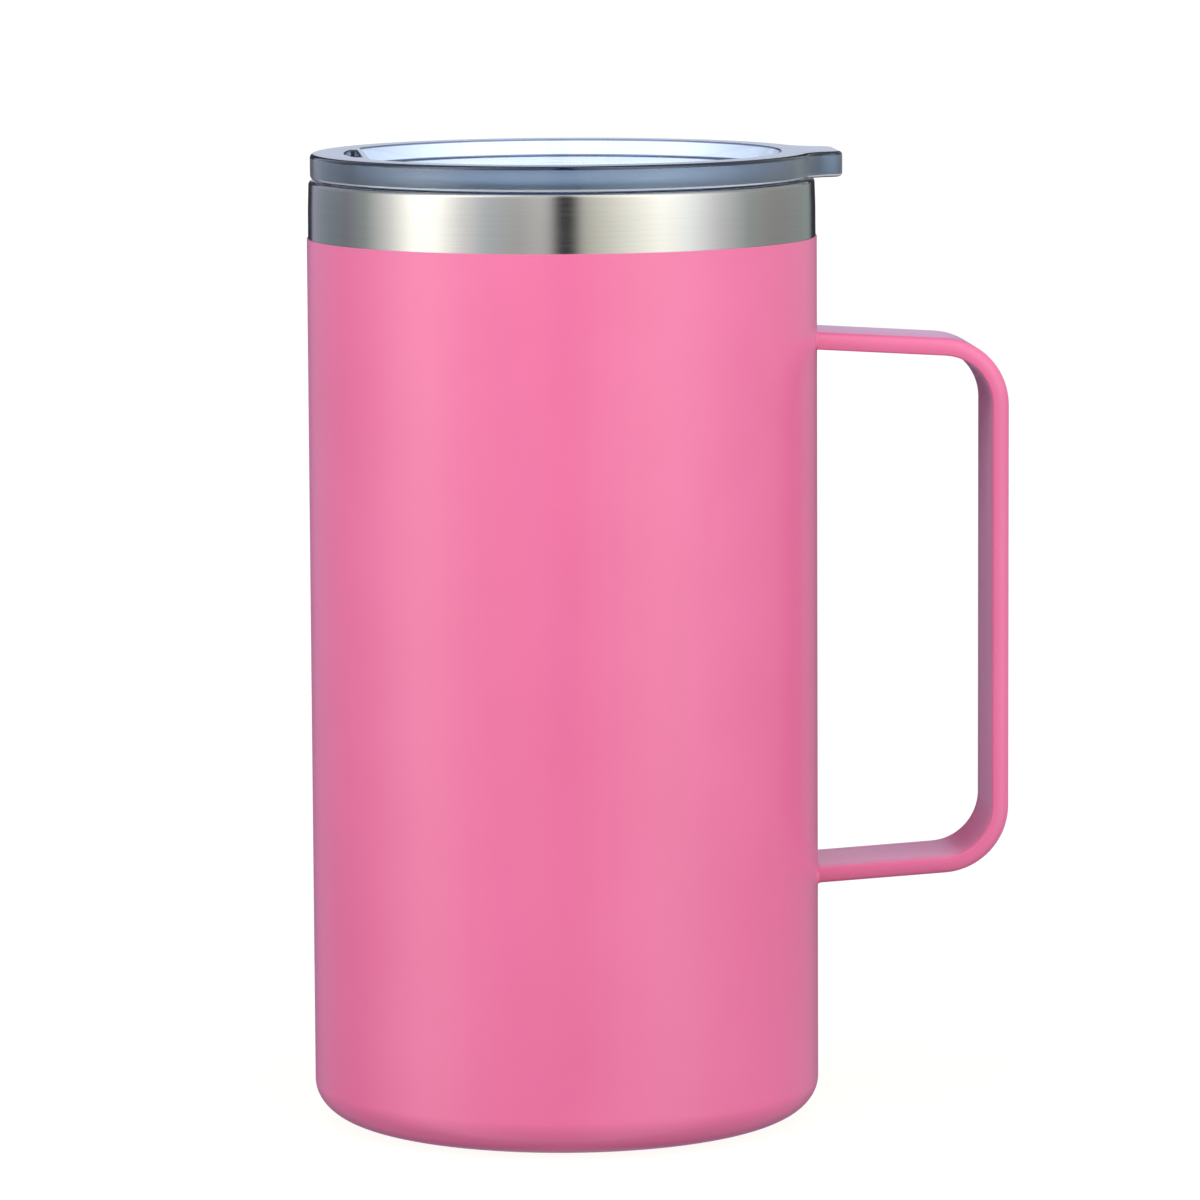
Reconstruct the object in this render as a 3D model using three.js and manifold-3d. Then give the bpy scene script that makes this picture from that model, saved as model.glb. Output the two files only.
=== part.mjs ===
// Vacuum-insulated tumbler with a side handle and a clear press-in sip lid.
// Millimetres, +Z up, handle towards +X. The origin is the centre of the flat
// base that the tumbler stands on.
import * as THREE from 'three'
import { mergeVertices } from 'three/addons/utils/BufferGeometryUtils.js'
import Module from 'manifold-3d'

const wasm = await Module()
wasm.setup()

// ---------------------------------------------------------------- dimensions

const DEGREE = Math.PI / 180
const RING_SIDES = 48 // sides of a large turned ring
const SMALL_SIDES = 24 // sides of a small turned piece
const CUT_GAP = 0.3 // between a piece and the neighbour that it is cut to fit
const FAR = 60 // reach of a cutting solid past what it cuts

// Outer shell and its coloured coat.
const BODY_RADIUS = 43.0 // outside of the coat
const COAT_THICKNESS = 0.17
const COAT_BOTTOM = 0.3
const COAT_TOP = 150.45
const CORNER_WIDTH = 8.6 // bottom corner, a slightly flattened round on the outside
const CORNER_HEIGHT = 6.5
const BOTTOM_STEPS = 6
const SKIN_GAP = 0.03 // between the coat and the steel under it
const SHELL_WALL = 0.6
const NECK_RADIUS = 42.65 // bare steel band where it meets the lip
const LIP_TOP = 160.15
const LIP_RADIUS = 0.7 // outside round of the lip
const CURL_RADIUS = 33.6 // inside face of the curled-in lower end
const CURL_TOP = 3.5
const CURL_BEND = 0.7

// Inner cup.
const CUP_RADIUS = 39.0 // inside
const CUP_WALL = 0.5
const CUP_FLOOR = 9.2 // inside
const CUP_CORNER = 8.0 // inside
const MOUTH_RADIUS = 39.7 // inside, where the lid's gasket seals
const MOUTH_START = 150.3
const MOUTH_STEP = 1.0 // height of the slope from cup to mouth
const FLARE_RADIUS = 1.65 // inside round of the lip
const WELD_WIDTH = 0.4 // bead that joins the two walls at the lip
const WELD_GAP = 0.05

// Heat-reflecting foil round the inner cup.
const FOIL_RADIUS = 39.7 // inside
const FOIL_THICKNESS = 0.15
const FOIL_BOTTOM = 18
const FOIL_HEIGHT = 122
const FOIL_SEAM = 6 // degrees left open

// Vacuum base, its getter and its seal, and the cap that hides them.
const PAN_RADIUS = 33.55
const PAN_BOTTOM = 1.3
const PAN_TOP = 3.4
const DIMPLE_RADIUS = 6.5
const DIMPLE_SLOPE = 1.5
const DIMPLE_TOP = 5.6
const PORT_RADIUS = 0.8 // hole that the air is drawn out through
const BEAD_RADIUS = 3.3
const BEAD_HEIGHT = 1.15
const GETTER_X = 17
const GETTER_RADIUS = 5.2
const GETTER_HEIGHT = 2.6
const GETTER_WALL = 0.35
const PILL_RADIUS = 4.3
const PILL_HEIGHT = 1.85
const PILL_CHAMFER = 0.35
const CAP_RADIUS = 32.6
const CAP_WALL = 0.5
const CAP_BEND = 0.8
const CAP_HEIGHT = 2.4

// Handle: a rolled channel closed by a flat strip on its inner side.
const GRIP_X = 75.0 // outer face of the grip
const HANDLE_THICKNESS = 2.9
const HANDLE_WIDTH = 18.6
const HANDLE_CORNER = 11.5 // outer face
const HANDLE_SHEET = 0.9
const EDGE_DEPTH = 1.45 // rolled edge, across the width
const EDGE_ROUND = 1.2 // rolled edge, through the thickness
const RETURN_WIDTH = 1.0 // how far each rolled edge comes back over the strip
const STRIP_GAP = 0.1
const CORNER_STEPS = 8
const ROOT_X = 39 // arms run in to here before the body's round is cut
const UPPER_ARM = { z: 134.3, slope: 3.4 } // outer face at the body, and its fall outwards
const LOWER_ARM = { z: 40.45, slope: 3.55 } // outer face at the body, and its rise outwards
const FILLET_LEG = 0.6 // weld fillet round each arm
const FILLET_INSET = 0.48 // how much narrower it is at its tip

// Lid.
const FLANGE_RADIUS = 42.36
const FLANGE_BOTTOM = 160.4
const FLANGE_TOP = 164.7
const FLANGE_ROUND = 0.7
const RECESS_RADIUS = 37.0
const RECESS_FLOOR = 161.75
const RECESS_CHAMFER = 0.4
const TAB_TIP = 46.9
const TAB_HALF_WIDTH = 8.5
const TAB_CORNER = 2.5
const TAB_FILLET = 8.0
const RIB_OUTER = 34.1 // straight rib of the sip slot, distance from the axis
const RIB_INNER = 33.0
const SIP_RADIUS = 36.85
const VENT_X = 30
const VENT_RADIUS = 0.9
const PLUG_INNER = 36.9
const PLUG_OUTER = 38.0
const PLUG_BOTTOM = 151.8
const PLUG_ROOT = 161.4 // the plug's wall runs up into the flange as far as this
const KEEPER_RADIUS = 38.9 // rib that keeps the gasket on the plug
const KEEPER_HEIGHT = 1.1
const KEEPER_CHAMFER = 0.4

// Gasket.
const GASKET_INNER = 38.2
const GASKET_OUTER = 38.8
const GASKET_BOTTOM = 153.4
const GASKET_TOP = 159.9
const FIN_REACH = 39.5
const FIN_BOTTOMS = [154.3, 157.0] // where each fin leaves the band
const FIN_RISE = 0.63 // height from there to the underside of its tip
const FIN_HEIGHT = 0.95 // height from there to its top

// ------------------------------------------------------------------- helpers

// Points of an arc about (x, y), between two angles in degrees, both ends included.
function arc(x, y, radius, from, to, steps) {
  return Array.from({ length: steps + 1 }, (_, i) => {
    const angle = (from + ((to - from) * i) / steps) * DEGREE
    return [x + radius * Math.cos(angle), y + radius * Math.sin(angle)]
  })
}

// Turns an outline of (radius, height) points about +Z. The outline runs
// anticlockwise. One that starts on the axis ends on it too, and any other closes.
function turned(outline, sides = RING_SIDES) {
  const points = outline.map(([radius, z]) => new THREE.Vector2(radius, z))
  if (points[0].x > 0) points.push(points[0].clone())
  return new THREE.LatheGeometry(points, sides).rotateX(Math.PI / 2)
}

// A disc or plug of one radius between two heights.
function disc(radius, bottom, top, sides = RING_SIDES) {
  return turned([[0, bottom], [radius, bottom], [radius, top], [0, top]], sides)
}

// Extrudes an outline along +Z from z = 0. A round takes off both ends' edges:
// it goes in by `inset` over the height `depth`, inside the outline's own size.
function extruded(outline, height, round) {
  const shape = new THREE.Shape(outline.map(([x, y]) => new THREE.Vector2(x, y)))
  if (!round) return new THREE.ExtrudeGeometry(shape, { depth: height, bevelEnabled: false })
  return new THREE.ExtrudeGeometry(shape, {
    depth: height - 2 * round.depth,
    bevelSize: round.inset,
    bevelOffset: -round.inset,
    bevelThickness: round.depth,
    bevelSegments: round.steps
  }).translate(0, 0, round.depth)
}

function rectangle(x0, y0, x1, y1) {
  return [[x0, y0], [x1, y0], [x1, y1], [x0, y1]]
}

// A closed geometry as a solid that can be cut and joined.
function solid(geometry) {
  const bare = geometry.clone()
  bare.deleteAttribute('normal')
  bare.deleteAttribute('uv')
  const merged = mergeVertices(bare, 1e-3)
  return new wasm.Manifold(new wasm.Mesh({
    numProp: 3,
    vertProperties: merged.attributes.position.array,
    triVerts: new Uint32Array(merged.index.array)
  }))
}

function geometryOf(shape) {
  const mesh = shape.getMesh()
  const geometry = new THREE.BufferGeometry()
  geometry.setAttribute('position', new THREE.BufferAttribute(mesh.vertProperties, 3))
  geometry.setIndex(new THREE.BufferAttribute(mesh.triVerts, 1))
  geometry.computeVertexNormals()
  return geometry
}

// ---------------------------------------------------------------------- body

const CORNER_R = BODY_RADIUS - CORNER_WIDTH // centre of the bottom corner's round
const CORNER_Z = COAT_BOTTOM + CORNER_HEIGHT
const STEEL_RADIUS = BODY_RADIUS - COAT_THICKNESS - SKIN_GAP
const CURL_R = CURL_RADIUS + CURL_BEND // centre of the curl's bend
const STEEL_BOTTOM = COAT_BOTTOM + COAT_THICKNESS + SKIN_GAP
const LIP_R = NECK_RADIUS - LIP_RADIUS // centre of the lip's outside round
const LIP_Z = LIP_TOP - LIP_RADIUS

// The bottom corner's round, at a depth below the face of the coat.
function bottomCorner(depth, from, to) {
  const width = CORNER_WIDTH - depth
  const height = CORNER_HEIGHT - depth
  const turn = arc(0, 0, 1, from, to, BOTTOM_STEPS)
  return turn.map(([x, z]) => [CORNER_R + width * x, CORNER_Z + height * z])
}

function powderCoat() {
  return turned([
    [CURL_R, COAT_BOTTOM],
    ...bottomCorner(0, -90, 0),
    [BODY_RADIUS, COAT_TOP],
    [BODY_RADIUS - COAT_THICKNESS, COAT_TOP],
    ...bottomCorner(COAT_THICKNESS, 0, -90),
    [CURL_R, COAT_BOTTOM + COAT_THICKNESS]
  ])
}

// One drawn sheet: curled in at the bottom, straight up the side, necked in a
// little along the bare band, and rounded over at the lip.
function outerShell() {
  const depth = BODY_RADIUS - STEEL_RADIUS
  return turned([
    [CURL_RADIUS, CURL_TOP],
    ...arc(CURL_R, STEEL_BOTTOM + CURL_BEND, CURL_BEND, 180, 270, 2),
    ...bottomCorner(depth, -90, 0),
    [STEEL_RADIUS, COAT_TOP],
    ...arc(LIP_R, LIP_Z, LIP_RADIUS, 0, 90, 3),
    ...arc(LIP_R, LIP_Z, LIP_RADIUS - SHELL_WALL, 90, 0, 1),
    [STEEL_RADIUS - SHELL_WALL, COAT_TOP],
    ...bottomCorner(depth + SHELL_WALL, 0, -90),
    [CURL_RADIUS + SHELL_WALL, STEEL_BOTTOM + CURL_BEND],
    [CURL_RADIUS + SHELL_WALL, CURL_TOP]
  ])
}

const FLARE_R = LIP_R - 2 * WELD_GAP - WELD_WIDTH // end of the inner cup's flare
const FLARE_Z = LIP_TOP - FLARE_RADIUS

function innerCup() {
  const cornerR = CUP_RADIUS - CUP_CORNER
  const cornerZ = CUP_FLOOR + CUP_CORNER
  const mouthZ = MOUTH_START + MOUTH_STEP
  return turned([
    [0, CUP_FLOOR - CUP_WALL],
    ...arc(cornerR, cornerZ, CUP_CORNER + CUP_WALL, -90, 0, 5),
    [CUP_RADIUS + CUP_WALL, MOUTH_START],
    [MOUTH_RADIUS + CUP_WALL, mouthZ],
    ...arc(FLARE_R, FLARE_Z, FLARE_RADIUS - CUP_WALL, 180, 90, 3),
    ...arc(FLARE_R, FLARE_Z, FLARE_RADIUS, 90, 180, 4),
    [MOUTH_RADIUS, mouthZ],
    [CUP_RADIUS, MOUTH_START],
    ...arc(cornerR, cornerZ, CUP_CORNER, 0, -90, 5),
    [0, CUP_FLOOR]
  ])
}

function rimWeld() {
  const outer = LIP_R - WELD_GAP
  const bottom = LIP_TOP - SHELL_WALL
  return turned(rectangle(outer - WELD_WIDTH, bottom, outer, LIP_TOP))
}

// A C-shaped sleeve, open along one seam.
function copperFoil() {
  const start = 180 + FOIL_SEAM / 2
  const end = 540 - FOIL_SEAM / 2
  const sleeve = [
    ...arc(0, 0, FOIL_RADIUS + FOIL_THICKNESS, start, end, RING_SIDES),
    ...arc(0, 0, FOIL_RADIUS, end, start, RING_SIDES)
  ]
  return extruded(sleeve, FOIL_HEIGHT).translate(0, 0, FOIL_BOTTOM)
}

// ---------------------------------------------------------------------- base

// A pan with its skirt down and a dimple up in the middle, round the port.
function outerBase() {
  const panUnder = PAN_TOP - SHELL_WALL
  const dimpleUnder = DIMPLE_TOP - SHELL_WALL
  const skirtInner = PAN_RADIUS - SHELL_WALL
  return turned([
    [skirtInner, PAN_BOTTOM],
    [PAN_RADIUS, PAN_BOTTOM],
    ...arc(skirtInner, panUnder, SHELL_WALL, 0, 90, 2),
    [DIMPLE_RADIUS, PAN_TOP],
    [DIMPLE_RADIUS - DIMPLE_SLOPE, DIMPLE_TOP],
    [PORT_RADIUS, DIMPLE_TOP],
    [PORT_RADIUS, dimpleUnder],
    [DIMPLE_RADIUS - DIMPLE_SLOPE - CUP_WALL, dimpleUnder],
    [DIMPLE_RADIUS - CUP_WALL, panUnder],
    [skirtInner, panUnder]
  ])
}

// Solder glass melted over the port, inside the dimple.
function vacuumSealBead() {
  const top = DIMPLE_TOP - SHELL_WALL - WELD_GAP
  const flat = BEAD_RADIUS - BEAD_HEIGHT
  return turned([
    [0, top - BEAD_HEIGHT],
    ...arc(flat, top, BEAD_HEIGHT, -90, 0, 3),
    [0, top]
  ], SMALL_SIDES)
}

function getterCup() {
  return turned([
    [0, 0],
    [GETTER_RADIUS, 0],
    [GETTER_RADIUS, GETTER_HEIGHT],
    [GETTER_RADIUS - GETTER_WALL, GETTER_HEIGHT],
    [GETTER_RADIUS - GETTER_WALL, GETTER_WALL],
    [0, GETTER_WALL]
  ], SMALL_SIDES)
}

function getterPill() {
  const bottom = GETTER_WALL + WELD_GAP
  const top = bottom + PILL_HEIGHT
  return turned([
    [0, bottom],
    [PILL_RADIUS - PILL_CHAMFER, bottom],
    [PILL_RADIUS, bottom + PILL_CHAMFER],
    [PILL_RADIUS, top - PILL_CHAMFER],
    [PILL_RADIUS - PILL_CHAMFER, top],
    [0, top]
  ], SMALL_SIDES)
}

// A dish that stands on its flat face and closes the curled end of the shell.
function baseCap() {
  return turned([
    [0, 0],
    ...arc(CAP_RADIUS - CAP_BEND, CAP_BEND, CAP_BEND, -90, 0, 3),
    [CAP_RADIUS, CAP_HEIGHT],
    [CAP_RADIUS - CAP_WALL, CAP_HEIGHT],
    ...arc(CAP_RADIUS - CAP_BEND, CAP_BEND, CAP_BEND - CAP_WALL, 0, -90, 1),
    [0, CAP_WALL]
  ])
}

// -------------------------------------------------------------------- handle

// Side view of the handle's face at a depth below its outer face, from the upper
// arm's root round the grip to the lower arm's root.
function handleFace(depth) {
  const centreX = GRIP_X - HANDLE_CORNER
  const radius = HANDLE_CORNER - depth
  const reach = centreX - BODY_RADIUS
  const corner = ({ z, slope }, up) => {
    const fall = reach * Math.tan(slope * DEGREE) + HANDLE_CORNER / Math.cos(slope * DEGREE)
    const turn = arc(centreX, z - up * fall, radius, up * (90 - slope), 0, CORNER_STEPS)
    const run = turn[0][0] - ROOT_X
    return [[ROOT_X, turn[0][1] + up * run * Math.tan(slope * DEGREE)], ...turn]
  }
  return [...corner(UPPER_ARM, 1), ...corner(LOWER_ARM, -1).reverse()]
}

// The handle's strap between two depths, centred across its width.
function strap(outerDepth, innerDepth, width, round) {
  const outline = [...handleFace(outerDepth), ...handleFace(innerDepth).reverse()]
  return solid(extruded(outline, width, round).translate(0, 0, -width / 2).rotateX(Math.PI / 2))
}

const STRIP_TOP = HANDLE_THICKNESS - HANDLE_SHEET // depth of the strip's hidden face
const FLAT_WIDTH = HANDLE_WIDTH - 2 * EDGE_DEPTH
const bodyCut = solid(disc(BODY_RADIUS + CUT_GAP, 0, LIP_TOP))

function handleChannel() {
  const rolled = { inset: EDGE_ROUND, depth: EDGE_DEPTH, steps: 3 }
  const hollowWidth = HANDLE_WIDTH - 2 * HANDLE_SHEET
  const hollow = strap(HANDLE_SHEET, STRIP_TOP, hollowWidth)
  const slot = strap(STRIP_TOP - CUT_GAP, HANDLE_THICKNESS + CUT_GAP, FLAT_WIDTH - RETURN_WIDTH)
  const blank = strap(0, HANDLE_THICKNESS, HANDLE_WIDTH, rolled)
  return geometryOf(blank.subtract(hollow).subtract(slot).subtract(bodyCut))
}

function handleInnerStrip() {
  const width = FLAT_WIDTH - RETURN_WIDTH - 2 * STRIP_GAP
  return geometryOf(strap(STRIP_TOP, HANDLE_THICKNESS, width).subtract(bodyCut))
}

// A rectangle with round corners, centred.
function roundedRectangle(width, height, radius) {
  const x = width / 2 - radius
  const y = height / 2 - radius
  return [[x, y, 0], [-x, y, 90], [-x, -y, 180], [x, -y, 270]].flatMap(
    ([cx, cy, from]) => arc(cx, cy, radius, from, from + 90, 3)
  )
}

// The fillet that a weld leaves round an arm where it meets the body.
function handleWeld({ z, slope }, up) {
  const across = new THREE.Vector3(0, 1, 0)
  const along = new THREE.Vector3(1, 0, 0)
  const alongArm = new THREE.Matrix4().makeBasis(across, new THREE.Vector3(0, 0, 1), along)
  const gap = CUT_GAP / 2
  const section = (margin, reach, round) => {
    const width = HANDLE_WIDTH + 2 * margin
    const height = HANDLE_THICKNESS + 2 * margin
    const outline = roundedRectangle(width, height, EDGE_ROUND + margin)
    const back = BODY_RADIUS - ROOT_X
    const bar = extruded(outline, back + reach, round).translate(0, 0, -back)
    const placed = bar.applyMatrix4(alongArm).rotateY(up * slope * DEGREE)
    return solid(placed.translate(BODY_RADIUS, 0, z - (up * HANDLE_THICKNESS) / 2))
  }
  const fillet = { inset: FILLET_INSET, depth: FILLET_LEG, steps: 2 }
  const blank = section(gap + FILLET_LEG, FILLET_LEG, fillet)
  const touching = solid(disc(BODY_RADIUS + WELD_GAP, 0, LIP_TOP))
  return geometryOf(blank.subtract(section(gap, FAR)).subtract(touching))
}

// ----------------------------------------------------------------------- lid

// Centre of the concave round between the flange and the tab's corner: its
// distances from the two centres are known, so it is where two circles cross.
function tabFilletCentre(cornerX, cornerY) {
  const fromAxis = FLANGE_RADIUS + TAB_FILLET
  const fromCorner = TAB_CORNER + TAB_FILLET
  const gap = Math.hypot(cornerX, cornerY)
  const along = (fromAxis ** 2 - fromCorner ** 2 + gap ** 2) / (2 * gap)
  const aside = Math.sqrt(fromAxis ** 2 - along ** 2)
  return [
    (along * cornerX - aside * cornerY) / gap,
    (along * cornerY + aside * cornerX) / gap
  ]
}

// The flange seen from above: a circle with one tab towards +X.
function flangeOutline() {
  const cornerX = TAB_TIP - TAB_CORNER
  const cornerY = TAB_HALF_WIDTH - TAB_CORNER
  const [x, y] = tabFilletCentre(cornerX, cornerY)
  const onRing = Math.atan2(y, x) / DEGREE
  const onCorner = Math.atan2(y - cornerY, x - cornerX) / DEGREE
  const upperHalf = [
    ...arc(cornerX, cornerY, TAB_CORNER, 0, onCorner, 3),
    ...arc(x, y, TAB_FILLET, onCorner - 180, onRing - 180, 4).slice(1),
    ...arc(0, 0, FLANGE_RADIUS, onRing, 180, 22).slice(1)
  ]
  const lowerHalf = upperHalf.slice(0, -1).map(([px, py]) => [px, -py]).reverse()
  return [...upperHalf, ...lowerHalf]
}

// A thick slab across the lid between two distances from the axis, towards -X.
function slab(near, far) {
  return solid(extruded(rectangle(-far, -FAR, -near, FAR), 2 * FAR).translate(0, 0, FLANGE_TOP - FAR))
}

function lidBody() {
  const height = FLANGE_TOP - FLANGE_BOTTOM
  const round = { inset: FLANGE_ROUND, depth: FLANGE_ROUND, steps: 2 }
  const flange = solid(extruded(flangeOutline(), height, round).translate(0, 0, FLANGE_BOTTOM))
  const recess = solid(turned([
    [0, RECESS_FLOOR],
    [RECESS_RADIUS, RECESS_FLOOR],
    [RECESS_RADIUS, FLANGE_TOP - RECESS_CHAMFER],
    [RECESS_RADIUS + 2 * RECESS_CHAMFER, FLANGE_TOP + RECESS_CHAMFER],
    [0, FLANGE_TOP + RECESS_CHAMFER]
  ]))
  const plug = solid(turned([
    [PLUG_INNER, PLUG_BOTTOM],
    [KEEPER_RADIUS - KEEPER_CHAMFER, PLUG_BOTTOM],
    [KEEPER_RADIUS, PLUG_BOTTOM + KEEPER_CHAMFER],
    [KEEPER_RADIUS, PLUG_BOTTOM + KEEPER_HEIGHT],
    [PLUG_OUTER, PLUG_BOTTOM + KEEPER_HEIGHT],
    [PLUG_OUTER, PLUG_ROOT],
    [PLUG_INNER, PLUG_ROOT]
  ]))
  const pocket = recess.subtract(slab(RIB_INNER, RIB_OUTER))
  const sipSlot = solid(disc(SIP_RADIUS, PLUG_BOTTOM, FLANGE_TOP)).intersect(slab(RIB_OUTER, FAR))
  const vent = solid(disc(VENT_RADIUS, PLUG_BOTTOM, FLANGE_TOP, SMALL_SIDES / 2).translate(VENT_X, 0, 0))
  const cut = flange.subtract(pocket).subtract(sipSlot).subtract(vent)
  return geometryOf(cut.add(plug))
}

// A band with two soft fins that press on the mouth.
function lidGasket() {
  return turned([
    [GASKET_INNER, GASKET_BOTTOM],
    [GASKET_OUTER, GASKET_BOTTOM],
    ...FIN_BOTTOMS.flatMap((z) => [
      [GASKET_OUTER, z],
      [FIN_REACH, z + FIN_RISE],
      [FIN_REACH, z + FIN_HEIGHT],
      [GASKET_OUTER, z + FIN_HEIGHT]
    ]),
    [GASKET_OUTER, GASKET_TOP],
    [GASKET_INNER, GASKET_TOP]
  ])
}

// ------------------------------------------------------------------ assembly

const PINK = { color: 0xe86a98, roughness: 0.5, metalness: 0.0 }
const STEEL = { color: 0xb9b8b4, roughness: 0.32, metalness: 1.0 }
const COPPER = { color: 0xc8764a, roughness: 0.35, metalness: 1.0 }
const GETTER = { color: 0x6d6a68, roughness: 0.8, metalness: 0.4 }
const GLASS = { color: 0x39424a, roughness: 0.2, metalness: 0.0 }
const CLEAR = { color: 0xa9b4cf, roughness: 0.06, metalness: 0.0, transparent: true, opacity: 0.45 }
const SILICONE = { color: 0xe9ecee, roughness: 0.5, metalness: 0.0, transparent: true, opacity: 0.7 }

function piece(name, geometry, finish) {
  const mesh = new THREE.Mesh(geometry, new THREE.MeshStandardMaterial(finish))
  mesh.name = name
  return mesh
}

function group(...pieces) {
  const made = new THREE.Group()
  made.add(...pieces)
  return made
}

const getter = group(
  piece('getter_cup', getterCup(), STEEL),
  piece('getter_pill', getterPill(), GETTER)
)
getter.position.set(GETTER_X, 0, PAN_TOP + WELD_GAP)

const base = group(
  piece('outer_base', outerBase(), STEEL),
  piece('vacuum_seal_bead', vacuumSealBead(), GLASS),
  piece('base_cap', baseCap(), STEEL),
  getter
)

const walls = group(
  piece('powder_coat', powderCoat(), PINK),
  piece('outer_shell', outerShell(), STEEL),
  piece('inner_cup', innerCup(), STEEL),
  piece('rim_weld', rimWeld(), STEEL),
  piece('copper_foil', copperFoil(), COPPER)
)

const handle = group(
  piece('handle_channel', handleChannel(), PINK),
  piece('handle_inner_strip', handleInnerStrip(), PINK),
  piece('upper_handle_weld', handleWeld(UPPER_ARM, 1), PINK),
  piece('lower_handle_weld', handleWeld(LOWER_ARM, -1), PINK)
)

const lid = group(
  piece('lid_body', lidBody(), CLEAR),
  piece('lid_gasket', lidGasket(), SILICONE)
)

export default group(walls, base, handle, lid)
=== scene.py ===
from math import atan2, cos, degrees, hypot, pi, radians, sin, sqrt, tan

import bpy
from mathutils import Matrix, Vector
from mathutils.geometry import tessellate_polygon


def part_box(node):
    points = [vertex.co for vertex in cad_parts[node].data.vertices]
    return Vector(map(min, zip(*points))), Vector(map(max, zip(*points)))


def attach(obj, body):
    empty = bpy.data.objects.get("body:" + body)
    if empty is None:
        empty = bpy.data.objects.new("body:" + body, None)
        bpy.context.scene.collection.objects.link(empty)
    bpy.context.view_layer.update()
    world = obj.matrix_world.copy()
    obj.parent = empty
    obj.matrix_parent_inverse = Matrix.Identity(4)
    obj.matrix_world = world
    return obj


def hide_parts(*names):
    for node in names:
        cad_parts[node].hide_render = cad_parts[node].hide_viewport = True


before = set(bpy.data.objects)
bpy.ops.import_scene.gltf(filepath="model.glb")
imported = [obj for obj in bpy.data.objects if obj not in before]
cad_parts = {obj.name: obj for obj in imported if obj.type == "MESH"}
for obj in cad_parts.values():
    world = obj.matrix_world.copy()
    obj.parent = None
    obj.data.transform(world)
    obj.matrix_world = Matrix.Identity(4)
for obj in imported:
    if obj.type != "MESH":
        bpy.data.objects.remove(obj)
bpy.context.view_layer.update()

# The looks of a vacuum tumbler with a side handle and a clear press-in lid: a fine
# mesh and a procedural material for every CAD node. Metres, in the CAD frame.

MM = 0.001
SIDES = 192  # sides of a large turned piece
SMALL_SIDES = 64

# ------------------------------------------------------------- frame dimensions

COAT_LOW, COAT_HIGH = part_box("powder_coat")
SHELL_LOW, SHELL_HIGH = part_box("outer_shell")
CUP_LOW, CUP_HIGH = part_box("inner_cup")
PAN_LOW, PAN_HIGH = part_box("outer_base")
CAP_LOW, CAP_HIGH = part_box("base_cap")
FOIL_LOW, FOIL_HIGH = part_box("copper_foil")
GRIP_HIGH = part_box("handle_channel")[1]
LID_LOW, LID_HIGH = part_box("lid_body")
GASKET_LOW, GASKET_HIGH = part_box("lid_gasket")

BODY_RADIUS = COAT_HIGH.x
COAT_BOTTOM, COAT_TOP = COAT_LOW.z, COAT_HIGH.z
SHELL_RADIUS = SHELL_HIGH.x
SHELL_BOTTOM, LIP_TOP = SHELL_LOW.z, SHELL_HIGH.z
FLANGE_TOP = LID_HIGH.z
FLANGE_RADIUS = -LID_LOW.x
FLANGE_BOTTOM = 160.4 * MM
TAB_TIP = LID_HIGH.x

# Where the finish of the lid changes, and where the painted shade and the painted highlight on it begin
# and end.
SIDE_RADIUS = FLANGE_RADIUS - 0.05 * MM
SIDE_TOP = FLANGE_TOP - 0.6 * MM
FLANGE_FOOT = FLANGE_BOTTOM + 0.8 * MM

# -------------------------------------------------------------------- mesh code


def arc(x, y, radius, start, end, steps):
    """Points of an arc about (x, y), angles in degrees, both ends included."""
    turns = [radians(start + (end - start) * i / steps) for i in range(steps + 1)]
    return [(x + radius * cos(a), y + radius * sin(a)) for a in turns]


def mesh_object(name, points, faces, flat_faces=(), crease=32):
    """An object with smooth faces, split where they meet at more than the crease angle."""
    mesh = bpy.data.meshes.new(name)
    mesh.from_pydata([tuple(p) for p in points], [], [*faces, *flat_faces])
    smooth = [True] * len(faces) + [False] * len(flat_faces)
    mesh.polygons.foreach_set("use_smooth", smooth)
    mesh.validate()
    mesh.set_sharp_from_angle(angle=radians(crease))
    piece = bpy.data.objects.new(name, mesh)
    bpy.context.scene.collection.objects.link(piece)
    return piece


def turned(name, outline, sides=SIDES, centre=(0, 0), crease=32):
    """Turns an anticlockwise outline of (radius, z) points about an upright axis.
    An outline that starts and ends on the axis is closed by it."""
    points, rings, faces = [], [], []
    for radius, z in outline:
        count = sides if radius > 1e-9 else 1
        rings.append(range(len(points), len(points) + count))
        for i in range(count):
            turn = 2 * pi * i / sides
            points.append((centre[0] + radius * cos(turn), centre[1] + radius * sin(turn), z))
    pairs = list(zip(rings, rings[1:]))
    if len(rings[0]) > 1:
        pairs.append((rings[-1], rings[0]))
    for lower, upper in pairs:
        for i in range(sides):
            j = (i + 1) % sides
            below = [lower[i % len(lower)], lower[j % len(lower)]]
            above = [upper[j % len(upper)], upper[i % len(upper)]]
            face = list(dict.fromkeys(below + above))
            if len(face) > 2:
                faces.append(face)
    return mesh_object(name, points, faces, crease=crease)


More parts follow.
